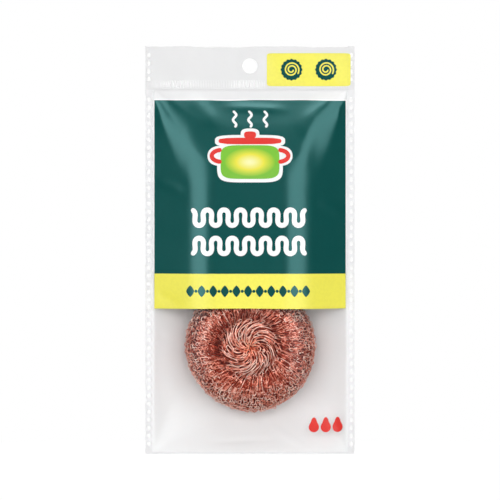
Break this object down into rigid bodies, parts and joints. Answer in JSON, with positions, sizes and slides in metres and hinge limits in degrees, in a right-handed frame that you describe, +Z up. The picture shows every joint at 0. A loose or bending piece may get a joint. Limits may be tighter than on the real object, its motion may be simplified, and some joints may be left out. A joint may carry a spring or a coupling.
{
  "type": "pot scrubber",
  "caption": "Round knitted copper-coated wire pot scrubbers in a flat clear-fronted hanging film pouch with a folding header.",
  "frame": {"origin": "centre of the hang hole, in the middle of the header's thickness", "axes": "+Z up when the pack hangs, -Y out of the printed front, +X to the right as seen from the front"},
  "size_m": [0.1092, 0.0334, 0.2126],
  "materials": {
    "copper_wire": "bright drawn copper-coated steel wire, knitted",
    "clear_film": "clear glossy film",
    "white_film": "white glossy film",
    "weld_film": "heat-sealed pale film",
    "green_print": "glossy dark green print",
    "yellow_print": "glossy yellow print"
  },
  "bodies": {
    "header": {"header_front_film": "white_film", "header_back_film": "white_film", "crimp_seal": "white_film", "header_badge": "yellow_print", "left_header_weld": "weld_film", "right_header_weld": "weld_film"},
    "pouch": {"pouch_front_film": "clear_film", "pouch_back_film": "white_film", "left_pouch_weld": "weld_film", "right_pouch_weld": "weld_film", "bottom_fold": "weld_film", "green_panel": "green_print", "yellow_band": "yellow_print"},
    "lower_scrubber": {"lower_outer_knit": "copper_wire", "lower_inner_roll": "copper_wire", "lower_front_gather": "copper_wire", "lower_back_gather": "copper_wire"},
    "upper_scrubber": {"upper_outer_knit": "copper_wire", "upper_inner_roll": "copper_wire", "upper_front_gather": "copper_wire", "upper_back_gather": "copper_wire"}
  },
  "joints": [
    {"name": "header_fold", "type": "hinge", "parent": "header", "child": "pouch", "pos_m": [0, 0, -0.01205], "axis": [1, 0, 0], "range_deg": [-90, 90]},
    {"name": "lower_scrubber_turn", "type": "hinge", "parent": "pouch", "child": "lower_scrubber", "pos_m": [0, 0, -0.1467], "axis": [0, 1, 0], "continuous": true},
    {"name": "upper_scrubber_turn", "type": "hinge", "parent": "pouch", "child": "upper_scrubber", "pos_m": [0, 0, -0.0778], "axis": [0, 1, 0], "continuous": true}
  ]
}
